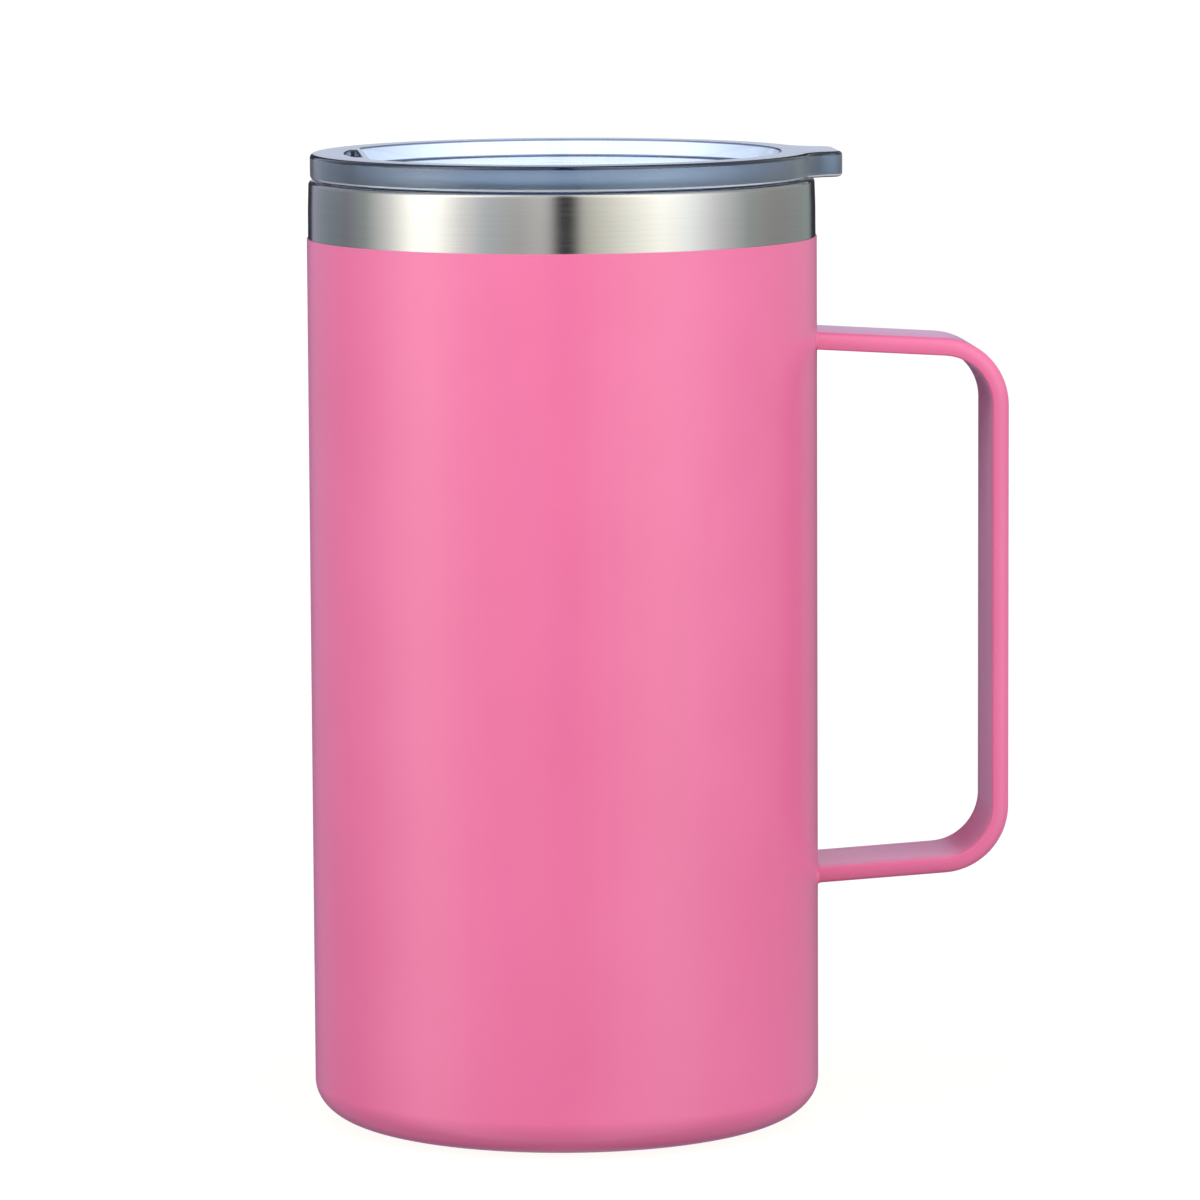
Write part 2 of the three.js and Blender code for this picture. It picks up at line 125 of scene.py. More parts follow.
class Skin:
    """Rings of points in level planes, the walls between them and flat caps across them."""

    def __init__(self):
        self.points, self.walls, self.caps = [], [], []

    def ring(self, outline, grow, z):
        """A ring that stands off an outline of (x, y, normal x, normal y) by a distance."""
        start = len(self.points)
        self.points += [(x + grow * nx, y + grow * ny, z) for x, y, nx, ny in outline]
        return list(range(start, len(self.points)))

    def rings(self, outline, profile):
        """A wall through the (grow, z) points of a profile. Returns its first and last ring."""
        made = [self.ring(outline, grow, z) for grow, z in profile]
        for low, high in zip(made, made[1:]):
            self.wall(low, high)
        return made[0], made[-1]

    def wall(self, low, high):
        count = len(low)
        for i in range(count):
            j = (i + 1) % count
            self.walls.append((low[i], low[j], high[j], high[i]))

    def cap(self, edge, holes=(), up=True):
        """A level face inside one ring and outside others."""
        loops = [edge, *holes]
        flat = [index for loop in loops for index in loop]
        corners = [[Vector(self.points[index]) for index in loop] for loop in loops]
        for triangle in tessellate_polygon(corners):
            a, b, c = (flat[i] for i in triangle)
            pa, pb, pc = (Vector(self.points[i]) for i in (a, b, c))
            faces_up = (pb - pa).cross(pc - pa).z > 0
            self.caps.append((a, b, c) if faces_up == up else (a, c, b))


def outline_arc(x, y, radius, start, end, steps, concave=False):
    """An arc as (x, y, normal x, normal y) points, for an outline that grows outwards."""
    side = -1 if concave else 1
    return [
        (px, py, side * (px - x) / radius, side * (py - y) / radius)
        for px, py in arc(x, y, radius, start, end, steps)
    ]


def ride(piece, body, node, material):
    """Puts a piece on its body in place of its CAD node, with its material."""
    piece.data.materials.clear()
    piece.data.materials.append(material)
    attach(piece, body)
    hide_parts(node)
    return piece


# -------------------------------------------------------------- material nodes


class Nodes:
    """A short way to write a node tree that ends in a Principled shader."""

    def __init__(self, name, **settings):
        self.material = bpy.data.materials.new(name)
        self.material.use_nodes = True
        self.tree = self.material.node_tree
        self.tree.nodes.clear()
        self.output = self.add("ShaderNodeOutputMaterial")
        self.shader = self.add("ShaderNodeBsdfPrincipled", **settings)
        self.link(self.shader, "BSDF", self.output, "Surface")
        self.place = self.add("ShaderNodeTexCoord")

    def add(self, kind, props=None, **inputs):
        node = self.tree.nodes.new(kind)
        for key, value in (props or {}).items():
            setattr(node, key, value)
        for key, value in inputs.items():
            node.inputs[key.replace("_", " ")].default_value = value
        return node

    def link(self, source, output, target, socket):
        self.tree.links.new(source.outputs[output], target.inputs[socket])
        return target

    def math(self, operation, first, second):
        """A maths node. Each side is a number, a maths node, or a (node, output) pair."""
        node = self.add("ShaderNodeMath", {"operation": operation})
        for socket, value in enumerate((first, second)):
            if isinstance(value, (int, float)):
                node.inputs[socket].default_value = value
            elif isinstance(value, tuple):
                self.link(*value, node, socket)
            else:
                self.link(value, "Value", node, socket)
        return node

    def between(self, value, low, high):
        """1 where a (node, output) value is between two numbers, and 0 elsewhere."""
        above = self.math("GREATER_THAN", value, low)
        return self.math("MULTIPLY", above, self.math("LESS_THAN", value, high))

    def split(self, source, output):
        """The X, Y and Z of a vector."""
        node = self.add("ShaderNodeSeparateXYZ")
        return self.link(source, output, node, "Vector")

    def noise(self, scale, stretch=(1, 1, 1), detail=2.0, roughness=0.5):
        """Noise in object space. Scale is in features a metre."""
        mapping = self.add("ShaderNodeMapping", Scale=stretch)
        self.link(self.place, "Object", mapping, "Vector")
        noise = self.add("ShaderNodeTexNoise", Scale=scale, Detail=detail, Roughness=roughness)
        return self.link(mapping, "Vector", noise, "Vector")

    def ramp(self, source, output, low, high, socket):
        """Spreads a 0 to 1 pattern between two values on one of the shader's sockets."""
        spread = self.add("ShaderNodeMapRange", To_Min=low, To_Max=high)
        self.link(source, output, spread, "Value")
        self.link(spread, "Result", self.shader, socket)

    def colours(self, source, output, dark, light):
        """Spreads a 0 to 1 pattern between two base colours."""
        mix = self.add("ShaderNodeMix", {"data_type": "RGBA"})
        mix.inputs["A"].default_value = (*dark, 1)
        mix.inputs["B"].default_value = (*light, 1)
        self.link(source, output, mix, "Factor")
        self.tree.links.new(mix.outputs[2], self.shader.inputs["Base Color"])
        return mix

    def paint_shade(self, mask, under, colour):
        """Puts a colour over a mix of base colours where a mask is 1: painted shade."""
        mix = self.add("ShaderNodeMix", {"data_type": "RGBA"})
        mix.inputs["B"].default_value = (*colour, 1)
        self.tree.links.new(under.outputs[2], mix.inputs["A"])
        self.link(mask, "Value", mix, "Factor")
        self.tree.links.new(mix.outputs[2], self.shader.inputs["Base Color"])

    def axis_distance(self):
        """How far a point is from the upright axis."""
        flat = self.add("ShaderNodeVectorMath", {"operation": "MULTIPLY"})
        flat.inputs[1].default_value = (1, 1, 0)
        self.link(self.place, "Object", flat, "Vector")
        length = self.add("ShaderNodeVectorMath", {"operation": "LENGTH"})
        return self.link(flat, "Vector", length, "Vector")

    def bump(self, source, output, strength, distance, below=None):
        bump = self.add("ShaderNodeBump", Strength=strength, Distance=distance)
        self.link(source, output, bump, "Height")
        if below:
            self.link(below, "Normal", bump, "Normal")
        self.link(bump, "Normal", self.shader, "Normal")
        return bump


def powder_coat_material(name, sheen):
    """Satin powder coat: a fine pebbled skin with a faint drift of tone. Its lilac-tinted sheen is a
    painted reflection of pale bluish light at grazing angles.
    """
    nodes = Nodes(name, Roughness=0.3, IOR=1.55)
    nodes.shader.inputs["Sheen Weight"].default_value = sheen
    nodes.shader.inputs["Sheen Roughness"].default_value = 0.3
    nodes.shader.inputs["Sheen Tint"].default_value = (0.66, 0.74, 1.0, 1)
    drift = nodes.noise(scale=38, detail=3)
    nodes.colours(drift, "Fac", (0.69, 0.126, 0.285), (0.77, 0.160, 0.345))
    pebbles = nodes.noise(scale=1900, detail=2)
    grains = nodes.noise(scale=5200, detail=1)
    fine = nodes.bump(grains, "Fac", 0.35, 0.00002)
    nodes.bump(pebbles, "Fac", 0.5, 0.00005, below=fine)
    return nodes.material


def brushed_material(name, colour, roughness, streaks=3200, grain=0.000012):
    """Steel brushed round the axis: fine level lines, which stretch highlights upright."""
    nodes = Nodes(name, Metallic=1.0, Roughness=roughness, Anisotropic=0.9, Anisotropic_Rotation=0.25)
    tangent = nodes.add("ShaderNodeTangent", {"direction_type": "RADIAL", "axis": "Z"})
    nodes.link(tangent, "Tangent", nodes.shader, "Tangent")
    lines = nodes.noise(scale=1.0, stretch=(60, 60, streaks), detail=4, roughness=0.6)
    darker = tuple(0.86 * c for c in colour)
    nodes.colours(lines, "Fac", darker, colour)
    nodes.ramp(lines, "Fac", roughness - 0.06, roughness + 0.08, "Roughness")
    nodes.bump(lines, "Fac", 0.4, grain)
    return nodes.material


def spun_material(name, colour, roughness, rings=2600):
    """Steel turned on a lathe: fine rings round the axis on a level face."""
    nodes = Nodes(name, Metallic=1.0, Roughness=roughness, Anisotropic=0.7, Anisotropic_Rotation=0.25)
    tangent = nodes.add("ShaderNodeTangent", {"direction_type": "RADIAL", "axis": "Z"})
    nodes.link(tangent, "Tangent", nodes.shader, "Tangent")
    rings_noise = nodes.add("ShaderNodeTexNoise", {"noise_dimensions": "1D"}, Scale=rings, Detail=4)
    nodes.link(nodes.axis_distance(), "Value", rings_noise, "W")
    nodes.colours(rings_noise, "Fac", tuple(0.86 * c for c in colour), colour)
    nodes.bump(rings_noise, "Fac", 0.35, 0.000015)
    return nodes.material


def metal_material(name, colour, roughness, scale=900, dent=0.00003, metallic=1.0):
    """A plain metal with a mill finish or crinkles, by the scale of its noise."""
    nodes = Nodes(name, Metallic=metallic, Roughness=roughness)
    grain = nodes.noise(scale=scale, detail=4)
    nodes.colours(grain, "Fac", tuple(0.8 * c for c in colour), colour)
    nodes.ramp(grain, "Fac", roughness - 0.05, roughness + 0.1, "Roughness")
    nodes.bump(grain, "Fac", 0.5, dent)
    return nodes.material


def clear_material(name, gloss, satin):
    """Clear moulded plastic with a smoky blue tint that deepens with the way through it.
    It is glossy, but satin on the flange's upright side and below the flange. A dark navy
    colour is painted on the rounds of the upper edges and below the flange: painted shade
    that draws dark edge lines and darkens the gap under the flange. The round at the
    flange's bottom edge lets less light through and shows its pale base colour: a painted
    highlight line."""
    nodes = Nodes(name, IOR=1.52, Coat_Weight=1.0, Coat_Roughness=0.04, Coat_IOR=1.5)
    nodes.shader.inputs["Specular Tint"].default_value = (0.35, 0.6, 1.0, 1)
    flow = nodes.noise(scale=160, detail=2)
    nodes.bump(flow, "Fac", 0.06, 0.00005)
    height = (nodes.split(nodes.place, "Object"), "Z")
    upward = (nodes.split(nodes.add("ShaderNodeNewGeometry"), "Normal"), "Z")

    # Painted shade: a dark navy colour on the rounds of the upper edges and below the flange draws dark
    # edge lines and the shade under the flange.
    above_foot = nodes.math("GREATER_THAN", height, FLANGE_FOOT)
    upper_rounds = nodes.math("MULTIPLY", nodes.between(upward, 0.12, 0.985), above_foot)
    below_flange = nodes.math("LESS_THAN", height, FLANGE_BOTTOM + 0.2 * MM)
    painted_shade_mask = nodes.math("MAXIMUM", upper_rounds, below_flange)
    body = nodes.colours(flow, "Fac", (0.95, 0.96, 0.98), (0.99, 0.99, 1.0))
    nodes.paint_shade(painted_shade_mask, body, (0.05, 0.065, 0.13))

    # Painted highlight: the flange's bottom round lets less light through, so its pale base colour shows
    # as a light line.
    at_foot = nodes.math("LESS_THAN", height, FLANGE_FOOT)
    foot_round = nodes.math("MULTIPLY", nodes.between(upward, -0.97, -0.3), at_foot)
    nodes.ramp(foot_round, "Value", 1.0, 0.45, "Transmission Weight")

    outermost = nodes.math("GREATER_THAN", (nodes.axis_distance(), "Value"), SIDE_RADIUS)
    below_top = nodes.math("LESS_THAN", height, SIDE_TOP)
    side = nodes.math("MULTIPLY", outermost, below_top)
    satin_part = nodes.math("MAXIMUM", side, below_flange)
    nodes.ramp(satin_part, "Value", gloss, satin, "Roughness")

    tint = nodes.add("ShaderNodeVolumeAbsorption", Color=(0.0, 0.09, 0.22, 1), Density=400)
    nodes.link(tint, "Volume", nodes.output, "Volume")
    return nodes.material


def silicone_material(name):
    nodes = Nodes(name, Roughness=0.42, IOR=1.41)
    nodes.shader.inputs["Transmission Weight"].default_value = 0.35
    haze = nodes.noise(scale=500, detail=3)
    nodes.colours(haze, "Fac", (0.74, 0.77, 0.79), (0.86, 0.88, 0.89))
    nodes.bump(haze, "Fac", 0.2, 0.00003)
    return nodes.material


def glass_bead_material(name):
    nodes = Nodes(name, Roughness=0.12, IOR=1.6)
    swirl = nodes.noise(scale=700, detail=4)
    nodes.colours(swirl, "Fac", (0.02, 0.03, 0.035), (0.08, 0.10, 0.11))
    return nodes.material


PINK = powder_coat_material("pink_powder_coat", sheen=0.3)
# The handle's copy of the same coat has much more of the lilac sheen: painted reflection that lights the
# handle's inner and upper faces lilac.
PINK_HANDLE = powder_coat_material("pink_handle_coat", sheen=0.85)
BAND = brushed_material("brushed_band_steel", (0.57, 0.56, 0.54), 0.20)
LINER = brushed_material("liner_steel", (0.74, 0.74, 0.73), 0.2, streaks=1800)
WELD = brushed_material("polished_weld", (0.8, 0.8, 0.79), 0.18)
BASE = spun_material("turned_base_steel", (0.72, 0.72, 0.71), 0.28)
MILL = metal_material("mill_steel", (0.62, 0.62, 0.61), 0.35)
COPPER = metal_material("copper_foil", (0.85, 0.42, 0.26), 0.28, scale=260, dent=0.0001)
GETTER = metal_material("getter_powder", (0.2, 0.19, 0.185), 0.8, scale=2600, metallic=0.3)
SOLDER = glass_bead_material("solder_glass")
CLEAR = clear_material("clear_plastic", gloss=0.01, satin=0.38)
SILICONE = silicone_material("clear_silicone")

# ------------------------------------------------------------------------ body

CORNER_WIDTH = 8.6 * MM  # bottom corner of the coat, a slightly flattened round
CORNER_HEIGHT = 6.5 * MM
COAT_THICKNESS = 0.17 * MM
SHELL_WALL = 0.6 * MM
NECK_RADIUS = 42.65 * MM
LIP_ROUND = 0.7 * MM
CORNER_R = BODY_RADIUS - CORNER_WIDTH
CORNER_Z = COAT_BOTTOM + CORNER_HEIGHT
CURL_RADIUS = 33.6 * MM
CURL_TOP = 3.5 * MM
CURL_BEND = 0.7 * MM
LIP_R = NECK_RADIUS - LIP_ROUND
LIP_Z = LIP_TOP - LIP_ROUND


def bottom_corner(depth, start, end):
    """The bottom corner's round, at a depth below the face of the coat."""
    width, height = CORNER_WIDTH - depth, CORNER_HEIGHT - depth
    return [(CORNER_R + width * x, CORNER_Z + height * z) for x, z in arc(0, 0, 1, start, end, 20)]


def make_coat():
    """The coat ends at the bare band in a thin edge that is rounded over."""
    curl = CURL_RADIUS + CURL_BEND
    edge = COAT_THICKNESS / 2
    outline = [
        (curl, COAT_BOTTOM),
        *bottom_corner(0, -90, 0),
        *arc(BODY_RADIUS - edge, COAT_TOP - edge, edge, 0, 180, 6),
        *bottom_corner(COAT_THICKNESS, 0, -90),
        (curl, COAT_BOTTOM + COAT_THICKNESS),
    ]
    ride(turned("body_coat", outline, crease=50), "mug", "powder_coat", PINK)


def make_shell():
    depth = BODY_RADIUS - SHELL_RADIUS
    bend_z = SHELL_BOTTOM + CURL_BEND
    outline = [
        (CURL_RADIUS, CURL_TOP),
        *arc(CURL_RADIUS + CURL_BEND, bend_z, CURL_BEND, 180, 270, 6),
        *bottom_corner(depth, -90, 0),
        (SHELL_RADIUS, COAT_TOP),
        (SHELL_RADIUS - 0.02 * MM, COAT_TOP + 2 * MM),
        (NECK_RADIUS + 0.12 * MM, LIP_Z - 4 * MM),
        *arc(LIP_R, LIP_Z, LIP_ROUND, 0, 90, 12),
        *arc(LIP_R, LIP_Z, LIP_ROUND - SHELL_WALL, 90, 0, 4),
        (SHELL_RADIUS - SHELL_WALL, COAT_TOP),
        *bottom_corner(depth + SHELL_WALL, 0, -90),
        (CURL_RADIUS + SHELL_WALL, bend_z),
        (CURL_RADIUS + SHELL_WALL, CURL_TOP),
    ]
    ride(turned("shell_and_band", outline), "mug", "outer_shell", BAND)


def make_cup():
    wall = 0.5 * MM
    inside = 39.0 * MM
    mouth = 39.7 * MM
    corner = 8.0 * MM
    floor = CUP_LOW.z + wall
    step_z = 150.3 * MM
    flare = 1.65 * MM
    flare_r = CUP_HIGH.x
    flare_z = CUP_HIGH.z - flare
    outline = [
        (0, CUP_LOW.z),
        *arc(inside - corner, floor + corner, corner + wall, -90, 0, 16),
        (inside + wall, step_z),
        (mouth + wall, step_z + MM),
        *arc(flare_r, flare_z, flare - wall, 180, 90, 8),
        *arc(flare_r, flare_z, flare, 90, 180, 12),
        (mouth, step_z + MM),
        (inside, step_z),
        *arc(inside - corner, floor + corner, corner, 0, -90, 16),
        (0, floor),
    ]
    ride(turned("liner_cup", outline), "mug", "inner_cup", LINER)


def make_rim_weld():
    low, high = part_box("rim_weld")
    width = 0.4 * MM
    crown = 0.03 * MM
    outline = [
        (high.x - width, low.z),
        (high.x, low.z),
        (high.x, high.z - crown),
        (high.x - width / 2, high.z),
        (high.x - width, high.z - crown),
    ]
    ride(turned("rim_weld_bead", outline, crease=60), "mug", "rim_weld", WELD)


def make_foil():
    """A C-shaped sleeve, open along one seam."""
    seam = 3  # half the open angle, in degrees
    thickness = 0.15 * MM
    outer = arc(0, 0, FOIL_HIGH.x, 180 + seam, 540 - seam, SIDES)
    inner = arc(0, 0, FOIL_HIGH.x - thickness, 540 - seam, 180 + seam, SIDES)
    outline = [*outer, *inner]
    count = len(outline)
    points = [(x, y, z) for z in (FOIL_LOW.z, FOIL_HIGH.z) for x, y in outline]
    walls = [(i, (i + 1) % count, (i + 1) % count + count, i + count) for i in range(count)]
    half = count // 2
    ends = []
    for i in range(half - 1):
        j = count - 1 - i
        ends.append((i, j, j - 1, i + 1))
        ends.append((i + count, i + 1 + count, j - 1 + count, j + count))
    ride(mesh_object("foil_sleeve", points, walls, ends), "mug", "copper_foil", COPPER)


# ------------------------------------------------------------------------ base


def make_base():
    wall = SHELL_WALL
    under = PAN_HIGH.z - wall
    pan_top = 3.4 * MM
    skirt = PAN_HIGH.x - wall
    dimple = 6.5 * MM
    port = 0.8 * MM
    pan = [
        (skirt, PAN_LOW.z),
        (PAN_HIGH.x, PAN_LOW.z),
        *arc(skirt, pan_top - wall, wall, 0, 90, 6),
        (dimple, pan_top),
        (dimple - 1.5 * MM, PAN_HIGH.z),
        (port, PAN_HIGH.z),
        (port, under),
        (dimple - 2.0 * MM, under),
        (dimple - 0.5 * MM, pan_top - wall),
        (skirt, pan_top - wall),
    ]
    ride(turned("base_pan", pan), "mug", "outer_base", MILL)

    low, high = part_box("vacuum_seal_bead")
    height = high.z - low.z
    bead = [(0, low.z), *arc(high.x - height, high.z, height, -90, 0, 10), (0, high.z)]
    ride(turned("seal_bead", bead, SMALL_SIDES), "mug", "vacuum_seal_bead", SOLDER)


def make_base_cap():
    """A dish with a shallow step pressed into its face."""
    wall = 0.5 * MM
    bend = 0.8 * MM
    step_radius = 25 * MM
    step_depth = 0.25 * MM
    radius = CAP_HIGH.x
    outline = [
        (0, step_depth),
        (step_radius - MM, step_depth),
        (step_radius, CAP_LOW.z),
        *arc(radius - bend, bend, bend, -90, 0, 10),
        (radius, CAP_HIGH.z),
        (radius - wall, CAP_HIGH.z),
        *arc(radius - bend, bend, bend - wall, 0, -90, 4),
        (step_radius, wall),
        (step_radius - MM, wall + step_depth),
        (0, wall + step_depth),
    ]
    ride(turned("base_disc", outline, crease=60), "mug", "base_cap", BASE)


def make_getter():
    low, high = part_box("getter_cup")
    centre = ((low.x + high.x) / 2, 0)
    radius = (high.x - low.x) / 2
    wall = 0.35 * MM
    cup = [
        (0, low.z),
        (radius, low.z),
        (radius, high.z),
        (radius - wall, high.z),
        (radius - wall, low.z + wall),
        (0, low.z + wall),
    ]
    ride(turned("getter_dish", cup, SMALL_SIDES, centre), "mug", "getter_cup", MILL)
    low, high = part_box("getter_pill")
    radius = (high.x - low.x) / 2
    pill = [
        (0, low.z),
        (radius - wall, low.z),
        (radius, low.z + wall),
        (radius, high.z - wall),
        (radius - wall, high.z),
        (0, high.z),
    ]
    ride(turned("getter_tablet", pill, SMALL_SIDES, centre), "mug", "getter_pill", GETTER)


# ---------------------------------------------------------------------- handle

GRIP_X = GRIP_HIGH.x
HALF_WIDTH = GRIP_HIGH.y
HANDLE_CORNER = 11.5 * MM
HANDLE_THICKNESS = 2.9 * MM
HANDLE_SHEET = 0.9 * MM
CHEEK = 2.1 * MM  # how far the soft outer edge rounds over, through the thickness
CHEEK_WIDTH = 1.6 * MM  # the same, across the width
EDGE_BREAK = 0.28 * MM  # the crisp inner edge
STRIP_HALF = 7.3 * MM
STRIP_GAP = 0.07 * MM
SEAM_BREAK = 0.1 * MM
UPPER_ARM = (134.3 * MM, 3.4, 1)  # outer face at the body, slope in degrees, side
LOWER_ARM = (40.45 * MM, 3.55, -1)


def arm_stations(z, slope, up, steps=20):
    """Outer-face points and inward normals of one arm's corner, from the arm to the grip."""
    centre_x = GRIP_X - HANDLE_CORNER
    slope = radians(slope)
    fall = (centre_x - BODY_RADIUS) * tan(slope) + HANDLE_CORNER / cos(slope)
    centre_z = z - up * fall
    turns = [up * (pi / 2 - slope) * (1 - i / steps) for i in range(steps + 1)]
    return [
        (centre_x + HANDLE_CORNER * cos(a), centre_z + HANDLE_CORNER * sin(a), -cos(a), -sin(a))
        for a in turns
    ]


def at_root(station, slope, up, y, depth, stand_off):
    """Where a line along an arm, at a place in its section, meets the body's round."""
    x, z, nx, nz = station
    start_x = x + depth * nx
    start_z = z + depth * nz
    meet_x = sqrt((BODY_RADIUS + stand_off) ** 2 - y * y)
    return (meet_x, y, start_z + up * (start_x - meet_x) * tan(radians(slope)))


def along_handle(name, section, body_node):
    """Sweeps a closed section of (y, depth) points from one root to the other."""
    upper = arm_stations(*UPPER_ARM)
    lower = arm_stations(*LOWER_ARM)[::-1]
    rings = [[at_root(upper[0], UPPER_ARM[1], 1, y, d, -SEAM_BREAK) for y, d in section]]
    for x, z, nx, nz in upper + lower:
        rings.append([(x + d * nx, y, z + d * nz) for y, d in section])
    rings.append([at_root(lower[-1], LOWER_ARM[1], -1, y, d, -SEAM_BREAK) for y, d in section])
    count = len(section)
    points = [point for ring in rings for point in ring]
    faces = []
    for r in range(len(rings) - 1):
        for i in range(count):
            j = (i + 1) % count
            faces.append((r * count + i, r * count + j, (r + 1) * count + j, (r + 1) * count + i))
    last = (len(rings) - 1) * count
    ends = [tuple(range(count))[::-1], tuple(range(last, last + count))]
    piece = mesh_object(name, points, faces, ends, crease=40)
    return ride(piece, "mug", body_node, PINK_HANDLE)


def channel_half():
    """Half of the channel's section, from its outer face's middle to its inner middle."""
    thick, sheet = HANDLE_THICKNESS, HANDLE_SHEET
    lip = STRIP_HALF + STRIP_GAP
    edge = [
        (HALF_WIDTH - CHEEK_WIDTH * (1 - cos(radians(a))), CHEEK * (1 - sin(radians(a))))
        for a in range(90, -1, -9)
    ]
    inner_y = HALF_WIDTH - EDGE_BREAK
    corner = [(y, thick - d) for y, d in arc(inner_y, EDGE_BREAK, EDGE_BREAK, 0, -90, 5)]
    seam = [(lip + SEAM_BREAK, thick), (lip, thick - SEAM_BREAK)]
    hollow = [(lip, thick - sheet), (HALF_WIDTH - sheet, thick - sheet), (HALF_WIDTH - CHEEK_WIDTH, sheet)]
    return edge + corner + seam + hollow


def make_handle():
    half = channel_half()
    section = half + [(-y, d) for y, d in reversed(half)]
    along_handle("handle_shell", section, "handle_channel")
    top = HANDLE_THICKNESS - HANDLE_SHEET
    side = [
        (STRIP_HALF, top),
        (STRIP_HALF, HANDLE_THICKNESS - SEAM_BREAK),
        (STRIP_HALF - SEAM_BREAK, HANDLE_THICKNESS),
    ]
    strip = side + [(-y, d) for y, d in reversed(side)]
    along_handle("handle_strip", strip, "handle_inner_strip")


def make_weld(name, node, arm):
    """A concave fillet round an arm's root, standing on the body's round."""
    _, slope, up = arm
    leg = 0.5 * MM
    station = arm_stations(*arm)[0]
    thick = HANDLE_THICKNESS
    corner = 1.2 * MM
    loop = []
    for cy, cd, start in (
        (HALF_WIDTH - corner, corner, -90),
        (HALF_WIDTH - corner, thick - corner, 0),
        (corner - HALF_WIDTH, thick - corner, 90),
        (corner - HALF_WIDTH, corner, 180),
    ):
        loop += outline_arc(cy, cd, corner, start, start + 90, 6)
    profile = [(leg * (1 - sin(radians(a))), leg * (1 - cos(radians(a)))) for a in range(0, 91, 15)]
    profile += [(-leg / 2, leg), (-leg / 2, -leg / 2), (leg, -leg / 4)]
    rings = [
        [at_root(station, slope, up, y + out * ny, d + out * nd, rise) for y, d, ny, nd in loop]
        for out, rise in profile
    ]
    count = len(loop)
    points = [point for ring in rings for point in ring]
    faces = []
    for r in range(len(rings)):
        for i in range(count):
            j, s = (i + 1) % count, (r + 1) % len(rings)
            face = (r * count + i, r * count + j, s * count + j, s * count + i)
            faces.append(face if up > 0 else face[::-1])
    ride(mesh_object(name, points, faces, crease=50), "mug", node, PINK)


# ------------------------------------------------------------------------- lid

FLANGE_ROUND = 0.7 * MM
RECESS_RADIUS = 37.0 * MM
RECESS_FLOOR = 161.75 * MM
SLOT_RADIUS = 36.6 * MM
RIB_OUTER = 34.1 * MM
RIB_INNER = 33.0 * MM
EDGE_ROUND = 0.3 * MM
FLOOR_ROUND = 0.4 * MM
TAB_HALF = 8.5 * MM
TAB_CORNER = 2.5 * MM
TAB_FILLET = 8.0 * MM
VENT_X = 30 * MM
VENT_RADIUS = 0.9 * MM
PLUG_INNER = 36.9 * MM
PLUG_OUTER = 38.0 * MM
KEEPER_RADIUS = 38.9 * MM
KEEPER_HEIGHT = 1.1 * MM
PLUG_BOTTOM = LID_LOW.z


def flange_outline():
    """The flange from above: a circle with a tab that flows into it through two hollows."""
    corner_x, corner_y = TAB_TIP - TAB_CORNER, TAB_HALF - TAB_CORNER
    from_axis, from_corner = FLANGE_RADIUS + TAB_FILLET, TAB_CORNER + TAB_FILLET
    gap = hypot(corner_x, corner_y)
    along = (from_axis**2 - from_corner**2 + gap**2) / (2 * gap)
    aside = sqrt(from_axis**2 - along**2)
    x = (along * corner_x - aside * corner_y) / gap
    y = (along * corner_y + aside * corner_x) / gap
    on_ring = degrees(atan2(y, x))
    on_corner = degrees(atan2(y - corner_y, x - corner_x))
    half = [
        *outline_arc(corner_x, corner_y, TAB_CORNER, 0, on_corner, 12),
        *outline_arc(x, y, TAB_FILLET, on_corner - 180, on_ring - 180, 14, concave=True)[1:],
        *outline_arc(0, 0, FLANGE_RADIUS, on_ring, 180, 84)[1:],
    ]
    mirrored = [(px, -py, nx, -ny) for px, py, nx, ny in reversed(half[:-1])]
    return half + mirrored


def cut_circle(radius, chord, fillet, keep_right, steps):
    """A circle cut by an upright chord at x = -chord, with its two corners rounded."""
    side = 1 if keep_right else -1
    centre_x = -chord + side * fillet
    centre_y = sqrt((radius - fillet) ** 2 - centre_x**2)
    on_circle = degrees(atan2(centre_y, centre_x))
    if keep_right:
        return [
            *outline_arc(0, 0, radius, -on_circle, on_circle, steps),
            *outline_arc(centre_x, centre_y, fillet, on_circle, 180, 6)[1:],
            *outline_arc(centre_x, -centre_y, fillet, 180, 360 - on_circle, 6)[:-1],
        ]
    return [
        *outline_arc(0, 0, radius, on_circle, 360 - on_circle, steps),
        *outline_arc(centre_x, -centre_y, fillet, 360 - on_circle, 360, 8)[1:],
        *outline_arc(centre_x, centre_y, fillet, 0, on_circle, 8)[:-1],
    ]


def rounded(grow, z, radius, start, end):
    """(grow, z) points of a round on an edge."""
    return arc(grow, z, radius, start, end, 6)


